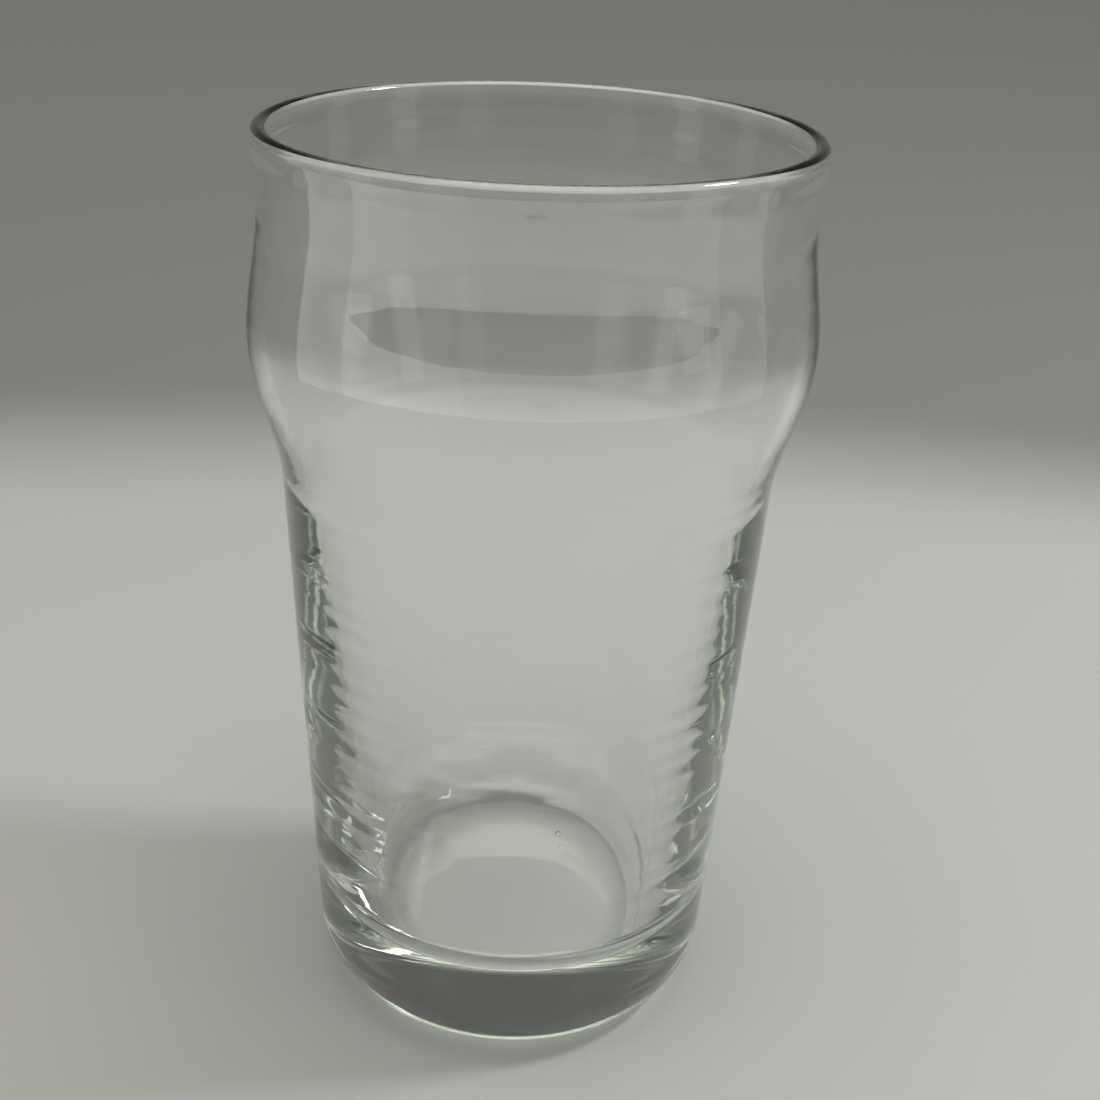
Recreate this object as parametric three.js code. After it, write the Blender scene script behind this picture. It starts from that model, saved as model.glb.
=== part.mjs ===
// Pint glass with a bulge below the rim: one piece of clear soda-lime glass, turned about +Z.
// It stands on a narrow flat ring around a shallow hollow, and is open at the top.
// Millimetres, +Z up, the flat foot on z = 0 and the axis of the glass on x = y = 0.

import * as THREE from "three";

// Overall sizes
const GLASS_HEIGHT = 152.5;
const BULGE_RADIUS = 45.75; // outside, at the widest level

// Levels of the outside, measured down from the top of the rim
const BULGE_BELOW_RIM = 32;
const NECK_BELOW_RIM = 13.2;
const WAIST_BELOW_RIM = 57;

// How far each level lies inside the bulge, measured on the radius
const WAIST_INSET = 5.25;
const NECK_INSET = 1.9;
const RIM_INSET = 1.3;

// Straight body below the waist, and the rounded heel it ends in
const BODY_SLOPE = 0.0656; // growth of the radius for each millimetre of height
const HEEL_HEIGHT = 12.6;
const HEEL_WIDTH = 9.5;

// Underside
const FOOT_RING_WIDTH = 3;
const PUNT_DEPTH = 0.4;

// Thickness of the glass, measured on the radius, and of the bottom
const WALL_AT_FLOOR = 9.1; // the straight wall carried down to the floor's level
const WALL_AT_WAIST = 2.8;
const WALL_AT_NECK = 2.1;
const RIM_THICKNESS = 2.5;
const BOTTOM_THICKNESS = 14; // from the standing plane to the middle of the inside floor
const FLOOR_DISH = 0.6; // how far the floor's edge lies above its middle
const FLOOR_CORNER_WIDTH = 7;
const FLOOR_CORNER_HEIGHT = 7.5;

// Fineness of the solid
const TURN_SEGMENTS = 64;
const SHOULDER_STEPS = 10;
const COLLAR_STEPS = 6;
const LIP_STEPS = 3;
const ARC_STEPS = 8; // even, so that the rim has points at its very top
const CORNER_STEPS = 8;
const DISH_STEPS = 3;

const CLEAR_GLASS = new THREE.MeshStandardMaterial({
  color: "#a3a59e",
  roughness: 0.04,
  metalness: 0,
  transparent: true,
  opacity: 0.4,
});

// Levels and outside radii that the sizes above lead to
const beadRadius = RIM_THICKNESS / 2;
const lipLevel = GLASS_HEIGHT - beadRadius;
const neckLevel = GLASS_HEIGHT - NECK_BELOW_RIM;
const bulgeLevel = GLASS_HEIGHT - BULGE_BELOW_RIM;
const waistLevel = GLASS_HEIGHT - WAIST_BELOW_RIM;
const rimRadius = BULGE_RADIUS - RIM_INSET;
const neckRadius = BULGE_RADIUS - NECK_INSET;
const waistRadius = BULGE_RADIUS - WAIST_INSET;
const heelRadius = waistRadius - BODY_SLOPE * (waistLevel - HEEL_HEIGHT);
const footRadius = heelRadius - HEEL_WIDTH;
const puntRadius = footRadius - FOOT_RING_WIDTH;

// Points along a smooth rise from [radius, level] a to b, leaving a at the given slope
// (radius for each millimetre of height) and reaching b upright; a itself is left out.
function easedRise(a, b, slope, steps) {
  const rise = b[1] - a[1];
  const points = [];
  for (let i = 1; i <= steps; i += 1) {
    const t = i / steps;
    const ease = t * t * (3 - 2 * t);
    const lead = t * (1 - t) * (1 - t) * slope * rise;
    points.push([a[0] + (b[0] - a[0]) * ease + lead, a[1] + rise * t]);
  }
  return points;
}

// Points on an arc about [radius, level] centre, between two angles in degrees from +radius.
function arc(centre, width, height, from, to, steps) {
  const points = [];
  for (let i = 0; i <= steps; i += 1) {
    const angle = THREE.MathUtils.degToRad(from + ((to - from) * i) / steps);
    points.push([centre[0] + width * Math.cos(angle), centre[1] + height * Math.sin(angle)]);
  }
  return points;
}

// Straight body, shoulder, bulge and collar, from the top of the heel up to the lip.
function outsideWall() {
  const heelTop = [heelRadius, HEEL_HEIGHT];
  const waist = [waistRadius, waistLevel];
  const bulge = [BULGE_RADIUS, bulgeLevel];
  const neck = [neckRadius, neckLevel];
  const lip = [rimRadius, lipLevel];
  return [
    heelTop,
    waist,
    ...easedRise(waist, bulge, BODY_SLOPE, SHOULDER_STEPS),
    ...easedRise(bulge, neck, 0, COLLAR_STEPS),
    ...easedRise(neck, lip, 0, LIP_STEPS),
  ];
}

// Thickness of the glass at a level, measured on the radius.
function wallAt(level) {
  const levels = [BOTTOM_THICKNESS, waistLevel, neckLevel, lipLevel];
  const walls = [WALL_AT_FLOOR, WALL_AT_WAIST, WALL_AT_NECK, RIM_THICKNESS];
  const above = levels.findIndex((value, i) => i > 0 && level <= value);
  const i = above > 0 ? above : levels.length - 1;
  const t = (level - levels[i - 1]) / (levels[i] - levels[i - 1]);
  return THREE.MathUtils.lerp(walls[i - 1], walls[i], t);
}

// Inside of the glass from the lip down to the waist, then the rounded corner and the
// dished floor. The corner's arc touches the straight inside wall and the floor's edge.
function inside() {
  const upper = outsideWall()
    .filter(([, level]) => level >= waistLevel && level < lipLevel)
    .map(([radius, level]) => [radius - wallAt(level), level])
    .reverse();
  const wallSlope = BODY_SLOPE + (WALL_AT_FLOOR - WALL_AT_WAIST) / (waistLevel - BOTTOM_THICKNESS);
  const waistInside = waistRadius - WALL_AT_WAIST;
  const cornerLevel = BOTTOM_THICKNESS + FLOOR_DISH + FLOOR_CORNER_HEIGHT;
  const wallOverCorner = waistInside - wallSlope * (waistLevel - cornerLevel);
  const steepness = (wallSlope * FLOOR_CORNER_HEIGHT) / FLOOR_CORNER_WIDTH;
  const cornerCentre = wallOverCorner - FLOOR_CORNER_WIDTH * Math.hypot(1, steepness);
  const lean = THREE.MathUtils.radToDeg(Math.atan(steepness));
  const corner = arc(
    [cornerCentre, cornerLevel],
    FLOOR_CORNER_WIDTH,
    FLOOR_CORNER_HEIGHT,
    -lean,
    -90,
    CORNER_STEPS,
  );
  const floor = [];
  for (let i = DISH_STEPS - 1; i >= 0; i -= 1) {
    const t = i / DISH_STEPS;
    floor.push([cornerCentre * t, BOTTOM_THICKNESS + FLOOR_DISH * t * t]);
  }
  return [...upper, ...corner, ...floor];
}

// Hollow under the glass, from its middle out to the flat ring, and the rounded heel.
function underside() {
  const punt = [];
  for (let i = 0; i <= DISH_STEPS; i += 1) {
    const t = i / DISH_STEPS;
    punt.push([puntRadius * t, PUNT_DEPTH * (1 - t * t)]);
  }
  const heel = arc([footRadius, HEEL_HEIGHT], HEEL_WIDTH, HEEL_HEIGHT, -90, 0, ARC_STEPS);
  return [...punt, ...heel.slice(0, -1)];
}

// The glass: its section from the underside's middle, around the rim, to the floor's middle.
function glassBody() {
  const bead = arc([rimRadius - beadRadius, lipLevel], beadRadius, beadRadius, 0, 180, ARC_STEPS);
  const section = [...underside(), ...outsideWall(), ...bead.slice(1), ...inside()];
  const outline = section.map(([radius, level]) => new THREE.Vector2(radius, level));
  const geometry = new THREE.LatheGeometry(outline, TURN_SEGMENTS);
  geometry.rotateX(Math.PI / 2);
  const mesh = new THREE.Mesh(geometry, CLEAR_GLASS);
  mesh.name = "glass_body";
  return mesh;
}

const pintGlass = new THREE.Group();
pintGlass.add(glassBody());

export default pintGlass;
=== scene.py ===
"""Looks of the pint glass: clear pressed soda-lime glass on a pale table top in soft studio light.

Metres, +Z up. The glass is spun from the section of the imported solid, with the fire-polished
surfaces, the settling rings of the inside wall and the faint marks of use added.
"""

import math

import bpy
import numpy as np
from mathutils import Matrix, Vector


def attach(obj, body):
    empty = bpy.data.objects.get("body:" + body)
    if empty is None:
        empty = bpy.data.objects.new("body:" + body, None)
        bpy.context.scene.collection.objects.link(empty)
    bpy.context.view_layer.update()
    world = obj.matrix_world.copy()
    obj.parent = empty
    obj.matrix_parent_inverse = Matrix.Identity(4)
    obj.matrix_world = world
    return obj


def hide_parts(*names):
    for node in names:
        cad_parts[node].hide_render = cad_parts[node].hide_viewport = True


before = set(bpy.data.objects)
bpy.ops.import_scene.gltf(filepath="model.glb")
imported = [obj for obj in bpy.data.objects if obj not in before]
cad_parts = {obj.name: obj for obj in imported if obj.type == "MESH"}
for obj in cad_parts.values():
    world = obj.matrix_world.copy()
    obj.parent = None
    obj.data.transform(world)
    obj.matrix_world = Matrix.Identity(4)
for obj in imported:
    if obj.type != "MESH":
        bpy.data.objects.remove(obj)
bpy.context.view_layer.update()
NODE = "glass_body"
MM = 0.001

# Camera: a close, slightly tilted look down into the glass
CAMERA_DISTANCE = 0.2613  # from the axis of the glass, along -Y
CAMERA_HEIGHT = 0.1989
CAMERA_PITCH = 22.66  # degrees downwards
CAMERA_YAW = -0.15
CAMERA_ROLL = 2.23
LENS = 55.0  # this and the sensor's width are in millimetres
SENSOR = 36.0
SHIFT_X = 0.0257
SHIFT_Y = -0.0455
NEAREST_SEEN = 0.01

# Fineness of the spun surface
TURNS = 448
MOST_TURN = math.radians(1.6)  # between neighbouring points of the section
LONGEST_STEP = 0.7 * MM
STRAIGHT_FROM = 5.0 * MM  # a longer stretch of the solid's section is a straight wall
TOUCHING = 1e-6  # a point nearer to a plane than this lies on it

# Waves are given as (rate, start, height). The wall is wavy between its two ends:
WALL_START = (14 * MM, 26 * MM)
WALL_END = (138 * MM, 146 * MM)

# Settling rings on the inside wall, left by the plunger
RING_PITCH = 4.7 * MM
RING_HEIGHT = 0.012 * MM
RING_TILT = 0.9 * MM
TILT_WAVES = ((1, 0.7, 1.0), (2, 2.1, 0.6), (5, 0.0, 0.3))  # around the glass
PITCH_WAVES = ((0.23, 0.6, 1.1), (0.41, 2.0, 0.6))  # make the pitch uneven
RING_WAVES = ((1, 0.0, 1.0), (0.61, 1.3, 0.5), (2.3, 0.4, 0.35))  # the rings themselves
RINGS_START = (22 * MM, 30 * MM)
RINGS_FADE = (58 * MM, 104 * MM)
RINGS_LOST = 0.75  # share of their height that is gone above the fade
PATCH_MIDDLE = 0.7  # the rings are stronger in patches
PATCH_SWING = 0.5
PATCH_START = 0.9
PATCH_SLANT = 17 * MM
PATCH_RISE = 9 * MM

# Slow unevenness of the moulded walls
UNEVEN_AROUND = 0.014 * MM
UNEVEN_ALONG = 0.008 * MM
LONG_WAVE = 47 * MM
SHORT_WAVE = 21 * MM
OUTSIDE_START = 0.4
INSIDE_START = 1.9

# Seed bubbles in the bottom: middle and half sizes
SEEDS = (
    ((0.0096, 0.0135, 0.0102), (0.0007, 0.00055, 0.00045)),
    ((0.0101, 0.0098, 0.0095), (0.0005, 0.00042, 0.00036)),
)
BUBBLE_STEPS = 20

# Glass and its wear
GLASS_IOR = 1.52
DEPTH_COLOUR = (0.785, 0.82, 0.765, 1)  # faint grey-green where the glass is thick
DEPTH_DENSITY = 16.0
HAZE = 0.03  # roughness of the worn patches
MARK_SIZE = 60.0  # noise scale of the worn patches
MARK_DETAIL = 3.0
MARK_EDGE = (0.5, 0.72)
SKIN_SIZE = 170.0  # noise scale of the fire-polished skin
SKIN_DETAIL = 1.0
SKIN_STRENGTH = 0.05
SKIN_HEIGHT = 0.12 * MM

# Table top
TABLE_RADIUS = 2.2
TABLE_SIDES = 256
TABLE_DROP = 0.0001  # keeps the table's surface clear of the foot
TABLE_ROUGHNESS = 0.75
PAINTED_POOL_MIDDLE = (0, 0.62, 0)  # added to a place, so the painted pool of light lies toward the viewer
PAINTED_SHADE_EDGE = (0.82, 0.95)  # painted shade: where the table dims into the room behind the glass
PALE = (0.485, 0.478, 0.45, 1)
# painted shade: the table's colour far behind the glass
PAINTED_SHADE_FAR_OUT = (0.225, 0.222, 0.212, 1)
FOOT_EDGE = (0.026, 0.034)  # inside it the table has its lightest colour, a painted pool of light
# painted light under the glass, also the colour of the painted glow
PAINTED_LIGHT_UNDER_GLASS = (0.95, 0.945, 0.90, 1)
GLOW_EDGE = (0.019, 0.025)
PAINTED_GLOW = 0.10  # painted glow inside that edge: the table glows under the glass, so the thick bottom doesn't look too dark
NO_GLOW = (0, 0, 0, 1)

# Room light by direction, where 1 is straight up or straight away from the viewer
ROOM_COLOUR = (1.0, 0.995, 0.965, 1)
WALL_TOP = (0.12, 0.35)
WALL_LIGHT = 0.23
DIM_LIGHT = 0.10
NEAR_EDGE = (0.35, -0.35)
NEAR_LIGHT = 0.13  # added on the viewer's side
CEILING_EDGE = (0.8, 0.94)
CEILING_LIGHT = 2.25

# Lights, which all point at the middle of the glass
LOOKED_AT = Vector((0, 0, 0.07))
WINDOW_SIZE = (0.16, 0.16)
WINDOW_PLACE = (0.68, 0.08, 0.86)
WINDOW_POWER = 4.2
WINDOW_COLOUR = (0.87, 0.94, 1.0)
# Upright panels around the viewer: angle from straight behind the viewer, power
PANELS = ((-104, 0.4), (-70, 0.6), (-37, 0.2), (30, 0.2), (64, 0.6), (101, 0.4))
PANEL_DISTANCE = 1.2
PANEL_LEVEL = 0.25
PANEL_SIZE = (0.26, 1.1)  # width, height
PANEL_COLOUR = (1.0, 0.99, 0.96)
# Low white cards that stand edge to edge in front of the glass: brightness of each, from the left
CARDS = (1.2, 2.0, 1.7, 1.4, 1.3, 1.3, 1.15, 0.6)
CARD_TURN = 24  # degrees from one card to the next
CARD_DISTANCE = 0.36
CARD_HEIGHT = 0.11
CARD_COLOUR = (1.0, 0.995, 0.97)

LIGHT_BOUNCES = 40  # light runs far along a thick glass wall before it comes out


def aim_camera():
    """Sets the camera at the viewing angle."""
    pitch, yaw, roll = (math.radians(a) for a in (CAMERA_PITCH, CAMERA_YAW, CAMERA_ROLL))
    forward = Vector((
        math.sin(yaw) * math.cos(pitch),
        math.cos(yaw) * math.cos(pitch),
        -math.sin(pitch),
    ))
    level_right = forward.cross(Vector((0, 0, 1))).normalized()
    level_up = level_right.cross(forward)
    right = math.cos(roll) * level_right + math.sin(roll) * level_up
    up = -math.sin(roll) * level_right + math.cos(roll) * level_up
    turn = Matrix((right, up, -forward)).transposed().to_4x4()
    data = bpy.data.cameras.new("camera")
    data.sensor_width = SENSOR
    data.lens = LENS
    data.shift_x = SHIFT_X
    data.shift_y = SHIFT_Y
    data.clip_start = NEAREST_SEEN
    camera = bpy.data.objects.new("camera", data)
    camera.matrix_world = Matrix.Translation((0, -CAMERA_DISTANCE, CAMERA_HEIGHT)) @ turn
    bpy.context.scene.collection.objects.link(camera)
    bpy.context.scene.camera = camera


def solid_section(node):
    """Points (radius, level) of the solid's section, from the underside's middle around the rim
    to the middle of the inside floor."""
    mesh = node.data
    links = {}

    def place(index):
        spot = mesh.vertices[index].co
        return round(spot.x, 6), round(spot.z, 6)

    flat = {v.index for v in mesh.vertices if abs(v.co.y) < TOUCHING and v.co.x > -TOUCHING}
    for edge in mesh.edges:
        a, b = edge.vertices
        if a in flat and b in flat and place(a) != place(b):
            links.setdefault(place(a), set()).add(place(b))
            links.setdefault(place(b), set()).add(place(a))
    here = min((p for p in links if abs(p[0]) < TOUCHING), key=lambda p: p[1])
    walk = [here]
    before = None
    while True:
        onward = [p for p in links[here] if p != before and p not in walk]
        if not onward:
            break
        before, here = here, onward[0]
        walk.append(here)
    return np.array(walk)


def headings(points):
    """Unit direction of the smooth curve at each point: along a straight wall at its ends, and
    along the circle through three neighbours elsewhere."""
    steps = np.diff(points, axis=0)
    lengths = np.linalg.norm(steps, axis=1)
    ways = steps / lengths[:, None]
    out = np.empty_like(points)
    out[0] = (1, 0)
    out[-1] = (-1, 0)
    for i in range(1, len(points) - 1):
        before, after = lengths[i - 1], lengths[i]
        if max(before, after) > STRAIGHT_FROM and min(before, after) < STRAIGHT_FROM:
            way = ways[i - 1] if before > after else ways[i]
        else:
            way = (ways[i - 1] * after + ways[i] * before) / (before + after)
        out[i] = way / np.linalg.norm(way)
    return out


def smooth_section(points):
    """The section as one smooth line of closely spaced points."""
    ways = headings(points)
    line = [points[0]]
    for i in range(len(points) - 1):
        a, b = points[i], points[i + 1]
        length = np.linalg.norm(b - a)
        bend = math.acos(max(-1.0, min(1.0, float(ways[i] @ ways[i + 1]))))
        count = max(1, math.ceil(bend / MOST_TURN), math.ceil(length / LONGEST_STEP))
        reach = length * (1 + bend * bend / 24)  # length of the arc between the two points
        for k in range(1, count + 1):
            t = k / count
            line.append(
                (2 * t**3 - 3 * t**2 + 1) * a
                + (t**3 - 2 * t**2 + t) * reach * ways[i]
                + (3 * t**2 - 2 * t**3) * b
                + (t**3 - t**2) * reach * ways[i + 1]
            )
    return np.array(line)


def soft_step(value, start, end):
    """0 before start, 1 after end, and a smooth rise between them."""
    t = np.clip((value - start) / (end - start), 0, 1)
    return t * t * (3 - 2 * t)


def wave_sum(value, waves):
    """Sum of waves, each with its rate, its start and its height."""
    return sum(height * np.sin(rate * value + start) for rate, start, height in waves)


def ring_waves(level, angle):
    """Height of the settling rings of the inside wall at a level and an angle."""
    tilt = RING_TILT * wave_sum(angle, TILT_WAVES)
    along = 2 * np.pi * (level + tilt) / RING_PITCH
    along = along + wave_sum(along, PITCH_WAVES)
    fade = soft_step(level, *RINGS_START) * (1 - RINGS_LOST * soft_step(level, *RINGS_FADE))
    slant = np.sin(2 * angle + level / PATCH_SLANT + PATCH_START)
    patch = PATCH_MIDDLE + PATCH_SWING * slant * np.sin(level / PATCH_RISE)
    return RING_HEIGHT * fade * patch * wave_sum(along, RING_WAVES)


def slow_waves(level, angle, start):
    """Slow unevenness of a moulded wall, around the glass and along it."""
    around = np.sin(3 * angle + start) + 0.6 * np.sin(7 * angle + 2.3 * start)
    long_wave = np.sin(2 * np.pi * level / LONG_WAVE + start)
    short_wave = np.sin(2 * np.pi * level / SHORT_WAVE - start)
    along = (long_wave + 0.5 * short_wave) * np.sin(2 * angle + start)
    return UNEVEN_AROUND * around + UNEVEN_ALONG * along


def glass_surface(points):
    """Vertices and faces of the glass spun from its section."""
    rim = int(np.argmax(points[:, 1]))
    rings = points[1:-1]
    count = len(rings)
    angle = np.linspace(0, 2 * np.pi, TURNS, endpoint=False)[:, None]
    radius = np.repeat(rings[None, :, 0], TURNS, axis=0)
    level = np.repeat(rings[None, :, 1], TURNS, axis=0)
    inner = (np.arange(count) + 1 > rim)[None, :]
    wall = soft_step(level, *WALL_START) * (1 - soft_step(level, *WALL_END))
    outside = slow_waves(level, angle, OUTSIDE_START) * wall
    inside = (slow_waves(level, angle, INSIDE_START) + ring_waves(level, angle)) * wall
    radius = radius + np.where(inner, inside, outside)
    spun = np.stack([radius * np.cos(angle), radius * np.sin(angle), level], axis=-1)
    ends = np.array([[0, 0, points[0, 1]], [0, 0, points[-1, 1]]])
    verts = np.concatenate([spun.reshape(-1, 3), ends])
    step = np.arange(count - 1)[None, :]
    here = np.arange(TURNS)[:, None] * count + step
    beside = (np.arange(TURNS)[:, None] + 1) % TURNS * count + step
    quads = np.stack([here, beside, beside + 1, here + 1], axis=-1).reshape(-1, 4)
    faces = quads.tolist()
    under, floor = TURNS * count, TURNS * count + 1
    for turn in range(TURNS):
        first = turn * count
        following = (turn + 1) % TURNS * count
        faces.append((under, following, first))
        faces.append((floor, first + count - 1, following + count - 1))
    return verts, faces


def seed_bubble(centre, sizes):
    """Surface of a tiny air bubble in the glass, facing the air inside it."""
    verts, faces = [], []
    for row in range(BUBBLE_STEPS + 1):
        lean = math.pi * row / BUBBLE_STEPS
        for col in range(BUBBLE_STEPS):
            turn = 2 * math.pi * col / BUBBLE_STEPS
            way = (
                math.sin(lean) * math.cos(turn),
                math.sin(lean) * math.sin(turn),
                math.cos(lean),
            )
            verts.append([c + s * w for c, s, w in zip(centre, sizes, way)])
    for row in range(BUBBLE_STEPS):
        for col in range(BUBBLE_STEPS):
            here = row * BUBBLE_STEPS + col
            beside = row * BUBBLE_STEPS + (col + 1) % BUBBLE_STEPS
            faces.append((here, beside, beside + BUBBLE_STEPS, here + BUBBLE_STEPS))
    return verts, faces


def make_object(name, verts, faces):
    """A smooth mesh object linked into the scene."""
    mesh = bpy.data.meshes.new(name)
    mesh.from_pydata(verts, [], faces)
    mesh.polygons.foreach_set("use_smooth", [True] * len(mesh.polygons))
    mesh.update()
    made = bpy.data.objects.new(name, mesh)
    bpy.context.scene.collection.objects.link(made)
    return made


def add_node(tree, kind, **settings):
    """A new node of a kind, with its settings."""
    node = tree.nodes.new(kind)
    for key, value in settings.items():
        setattr(node, key, value)
    return node


def add_socket(group, name, kind, put_in):
    """A named input or output of a node group."""
    way = "INPUT" if put_in else "OUTPUT"
    group.interface.new_socket(name, in_out=way, socket_type="NodeSocket" + kind)


def add_noise(tree, place, detail):
    """A Noise node that follows a place; returns the node."""
    noise = add_node(tree, "ShaderNodeTexNoise")
    noise.inputs["Detail"].default_value = detail
    tree.links.new(place, noise.inputs["Vector"])
    return noise


def calc(tree, operation, *values):
    """A Math node with its inputs set or linked; returns its output."""
    node = add_node(tree, "ShaderNodeMath", operation=operation)
    for socket, value in zip(node.inputs, values):
        if isinstance(value, (int, float)):
            socket.default_value = value
        else:
            tree.links.new(value, socket)
    return node.outputs[0]


def ranged(tree, value, low, high, to_low, to_high):
    """A smooth Map Range node; returns its output."""
    node = add_node(tree, "ShaderNodeMapRange", interpolation_type="SMOOTHSTEP")
    tree.links.new(value, node.inputs["Value"])
    node.inputs["From Min"].default_value = low
    node.inputs["From Max"].default_value = high
    node.inputs["To Min"].default_value = to_low
    node.inputs["To Max"].default_value = to_high
    return node.outputs[0]


def wash_wear_group():
    """Faint haze and wash marks of a glass in daily use: a roughness and a bump height."""
    group = bpy.data.node_groups.new("wash_wear", "ShaderNodeTree")
    add_socket(group, "Mark Size", "Float", put_in=True)
    add_socket(group, "Haze", "Float", put_in=True)
    add_socket(group, "Roughness", "Float", put_in=False)
    add_socket(group, "Bump Height", "Float", put_in=False)
    given = add_node(group, "NodeGroupInput")
    out = add_node(group, "NodeGroupOutput")
    place = add_node(group, "ShaderNodeTexCoord").outputs["Object"]
    marks = add_noise(group, place, MARK_DETAIL)
    group.links.new(given.outputs["Mark Size"], marks.inputs["Scale"])
    patches = ranged(group, marks.outputs["Fac"], *MARK_EDGE, 0.0, 1.0)
    roughness = calc(group, "MULTIPLY", patches, given.outputs["Haze"])
    group.links.new(roughness, out.inputs["Roughness"])
    skin = add_noise(group, place, SKIN_DETAIL)
    skin.inputs["Scale"].default_value = SKIN_SIZE
    group.links.new(skin.outputs["Fac"], out.inputs["Bump Height"])
    return group


def clear_glass():
    """Clear soda-lime glass with a faint grey-green depth, fire-polished, lightly worn."""
    material = bpy.data.materials.new("clear_glass")
    material.use_nodes = True
    tree = material.node_tree
    shader = tree.nodes["Principled BSDF"]
    shader.inputs["Base Color"].default_value = (1, 1, 1, 1)
    shader.inputs["Metallic"].default_value = 0.0
    shader.inputs["Transmission Weight"].default_value = 1.0
    shader.inputs["IOR"].default_value = GLASS_IOR
    wear = add_node(tree, "ShaderNodeGroup", node_tree=wash_wear_group(), label="wash wear")
    wear.inputs["Mark Size"].default_value = MARK_SIZE
    wear.inputs["Haze"].default_value = HAZE
    tree.links.new(wear.outputs["Roughness"], shader.inputs["Roughness"])
    bump = add_node(tree, "ShaderNodeBump")
    bump.inputs["Strength"].default_value = SKIN_STRENGTH
    bump.inputs["Distance"].default_value = SKIN_HEIGHT
    tree.links.new(wear.outputs["Bump Height"], bump.inputs["Height"])
    tree.links.new(bump.outputs["Normal"], shader.inputs["Normal"])
    depth = add_node(tree, "ShaderNodeVolumeAbsorption")
    depth.inputs["Color"].default_value = DEPTH_COLOUR
    depth.inputs["Density"].default_value = DEPTH_DENSITY
    tree.links.new(depth.outputs["Volume"], tree.nodes["Material Output"].inputs["Volume"])
    return material


def build_glass():
    """The whole glass with its two seed bubbles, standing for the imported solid."""
    verts, faces = glass_surface(smooth_section(solid_section(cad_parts[NODE])))
    verts = verts.tolist()
    for centre, sizes in SEEDS:
        more, sides = seed_bubble(centre, sizes)
        start = len(verts)
        verts += more
        faces += [tuple(start + v for v in side) for side in sides]
    glass = make_object("pint_glass", verts, faces)
    glass.data.materials.append(clear_glass())
    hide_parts(NODE)
    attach(glass, "root")


def mixed_colour(tree, share, first, second):
    """Mix of two colours, each set or linked, by a linked share; returns its output."""
    blend = add_node(tree, "ShaderNodeMix", data_type="RGBA")
    tree.links.new(share, blend.inputs[0])
    for socket, colour in zip(blend.inputs[6:8], (first, second)):
        if isinstance(colour, tuple):
            socket.default_value = colour
        else:
            tree.links.new(colour, socket)
    return blend.outputs[2]


def pool_of_light_group():
    """The table's pale colour with painted light and shade on it: a painted pool of light, lightest
    under the glass, pale around it and painted shade far out, and the colour of a painted glow under
    the glass."""
    group = bpy.data.node_groups.new("pool_of_light", "ShaderNodeTree")
    for name in ("Pale Colour", "Painted Shade Colour", "Painted Light Colour"):
        add_socket(group, name, "Color", put_in=True)
    for name in ("Colour", "Glow"):
        add_socket(group, name, "Color", put_in=False)
    given = add_node(group, "NodeGroupInput")
    out = add_node(group, "NodeGroupOutput")
    place = add_node(group, "ShaderNodeTexCoord").outputs["Object"]
    from_glass = add_node(group, "ShaderNodeVectorMath", operation="LENGTH")
    group.links.new(place, from_glass.inputs[0])
    moved = add_node(group, "ShaderNodeVectorMath", operation="ADD")
    group.links.new(place, moved.inputs[0])
    moved.inputs[1].default_value = PAINTED_POOL_MIDDLE
    from_pool = add_node(group, "ShaderNodeVectorMath", operation="LENGTH")
    group.links.new(moved.outputs[0], from_pool.inputs[0])
    # painted shade: the table darkens far behind the glass
    painted_shade_share = ranged(group, from_pool.outputs["Value"], *PAINTED_SHADE_EDGE, 0.0, 1.0)
    # painted light: the table is lightest under the glass
    painted_light_share = ranged(group, from_glass.outputs["Value"], *FOOT_EDGE, 1.0, 0.0)
    # painted glow under the glass
    lit = ranged(group, from_glass.outputs["Value"], *GLOW_EDGE, 1.0, 0.0)
    around = mixed_colour(group, painted_shade_share, given.outputs["Pale Colour"], given.outputs["Painted Shade Colour"])
    colour = mixed_colour(group, painted_light_share, around, given.outputs["Painted Light Colour"])
    group.links.new(colour, out.inputs["Colour"])
    glow = mixed_colour(group, lit, NO_GLOW, given.outputs["Painted Light Colour"])
    group.links.new(glow, out.inputs["Glow"])
    return group


def table_top():
    """A round pale table top."""
    bpy.ops.mesh.primitive_circle_add(
        vertices=TABLE_SIDES, radius=TABLE_RADIUS, fill_type="NGON", location=(0, 0, -TABLE_DROP)
    )
    top = bpy.context.object
    top.name = "table_top"
    material = bpy.data.materials.new("pale_table")
    material.use_nodes = True
    tree = material.node_tree
    shader = tree.nodes["Principled BSDF"]
    pool = add_node(tree, "ShaderNodeGroup", node_tree=pool_of_light_group())
    pool.inputs["Pale Colour"].default_value = PALE
    pool.inputs["Painted Shade Colour"].default_value = PAINTED_SHADE_FAR_OUT
    pool.inputs["Painted Light Colour"].default_value = PAINTED_LIGHT_UNDER_GLASS
    # base colour: pale, with a painted pool of light under the glass and painted shade far behind it
    tree.links.new(pool.outputs["Colour"], shader.inputs["Base Color"])
    # emission: a painted glow under the glass
    tree.links.new(pool.outputs["Glow"], shader.inputs["Emission Color"])
    shader.inputs["Emission Strength"].default_value = PAINTED_GLOW
    shader.inputs["Roughness"].default_value = TABLE_ROUGHNESS
    top.data.materials.append(material)


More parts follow.
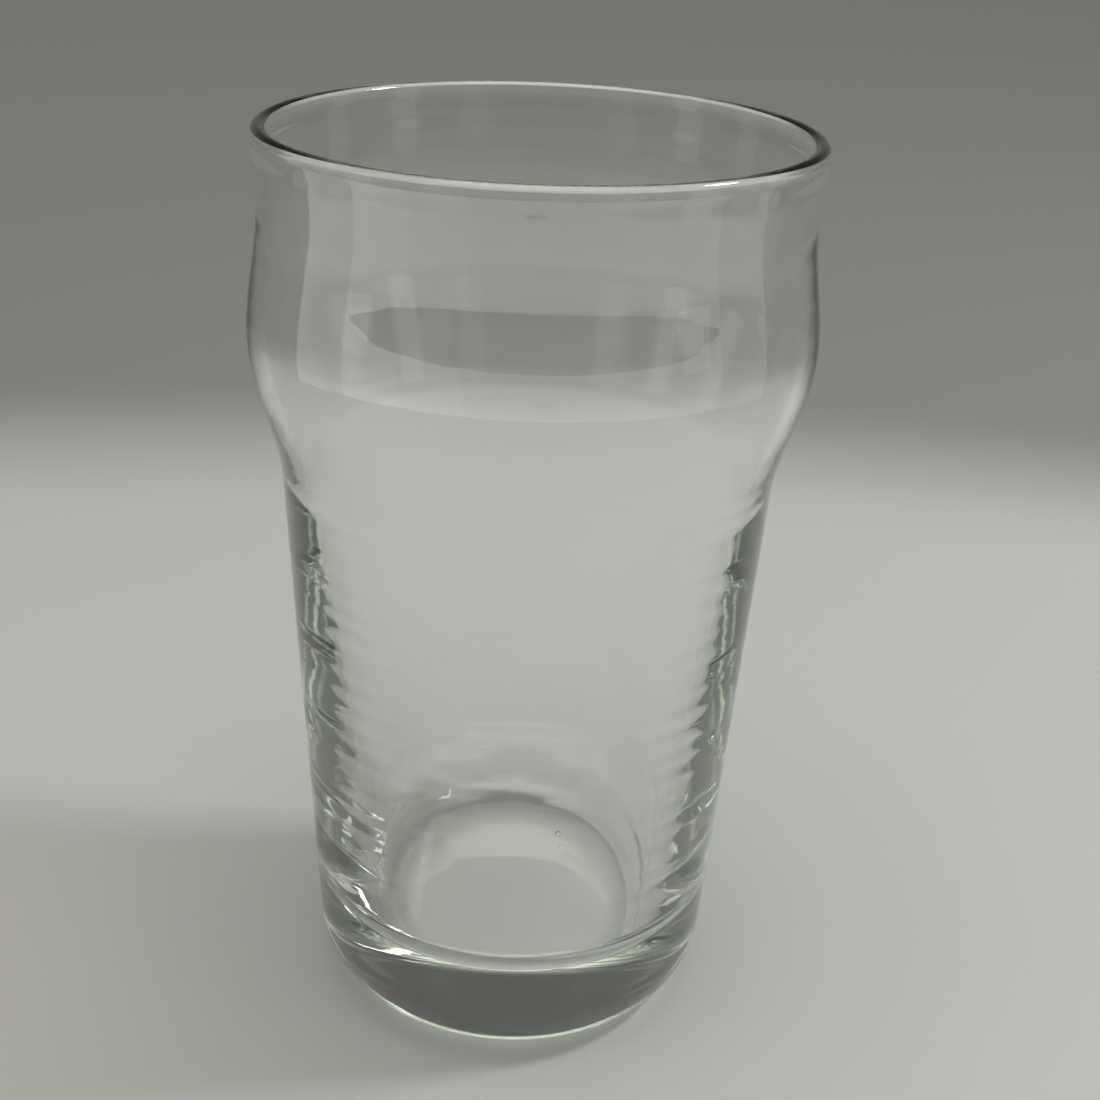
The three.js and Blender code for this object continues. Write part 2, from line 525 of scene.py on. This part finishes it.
def studio_world():
    """Soft room light: a bright ceiling, dim walls, and a brighter side behind the viewer."""
    world = bpy.data.worlds.new("studio")
    bpy.context.scene.world = world
    world.use_nodes = True
    tree = world.node_tree
    back = tree.nodes["Background"]
    place = add_node(tree, "ShaderNodeTexCoord")
    split = add_node(tree, "ShaderNodeSeparateXYZ")
    tree.links.new(place.outputs["Generated"], split.inputs[0])
    wall = ranged(tree, split.outputs["Z"], *WALL_TOP, WALL_LIGHT, DIM_LIGHT)
    near = ranged(tree, split.outputs["Y"], *NEAR_EDGE, 0.0, NEAR_LIGHT)
    ceiling = ranged(tree, split.outputs["Z"], *CEILING_EDGE, 0.0, 1.0)
    sides = calc(tree, "MULTIPLY", calc(tree, "ADD", wall, near), calc(tree, "SUBTRACT", 1.0, ceiling))
    above = calc(tree, "MULTIPLY", ceiling, CEILING_LIGHT)
    tree.links.new(calc(tree, "ADD", sides, above), back.inputs["Strength"])
    back.inputs["Color"].default_value = ROOM_COLOUR


def area_light(name, place, size, power, colour):
    """A soft light that points at the glass; size is its width and height."""
    data = bpy.data.lights.new(name, "AREA")
    data.shape = "RECTANGLE"
    data.size, data.size_y = size
    data.energy = power
    data.color = colour
    light = bpy.data.objects.new(name, data)
    light.location = place
    aim = LOOKED_AT - Vector(place)
    light.rotation_euler = aim.to_track_quat("-Z", "Y").to_euler()
    bpy.context.scene.collection.objects.link(light)
    return light


def on_viewer_side(degrees, distance, level):
    """A place on a circle around the glass, by its angle from straight behind the viewer."""
    angle = math.radians(degrees)
    return distance * math.sin(angle), -distance * math.cos(angle), level


def studio_lights():
    """A small cool window high up on the right, and panels and low cards on the viewer's side."""
    area_light("window", WINDOW_PLACE, WINDOW_SIZE, WINDOW_POWER, WINDOW_COLOUR)
    for number, (degrees, power) in enumerate(PANELS):
        place = on_viewer_side(degrees, PANEL_DISTANCE, PANEL_LEVEL)
        area_light(f"panel_{number}", place, PANEL_SIZE, power, PANEL_COLOUR)
    width = 2 * CARD_DISTANCE * math.tan(math.radians(CARD_TURN) / 2)
    for number, glow in enumerate(CARDS):
        degrees = CARD_TURN * (number - (len(CARDS) - 1) / 2)
        place = on_viewer_side(degrees, CARD_DISTANCE, CARD_HEIGHT / 2)
        power = glow * math.pi * width * CARD_HEIGHT
        card = area_light(f"card_{number}", place, (width, CARD_HEIGHT), power, CARD_COLOUR)
        card.visible_transmission = False  # so it isn't seen through the glass


aim_camera()
build_glass()
table_top()
studio_world()
studio_lights()

scene = bpy.context.scene
scene.view_settings.view_transform = "Standard"
scene.cycles.max_bounces = LIGHT_BOUNCES
scene.cycles.transmission_bounces = LIGHT_BOUNCES
scene.cycles.glossy_bounces = LIGHT_BOUNCES
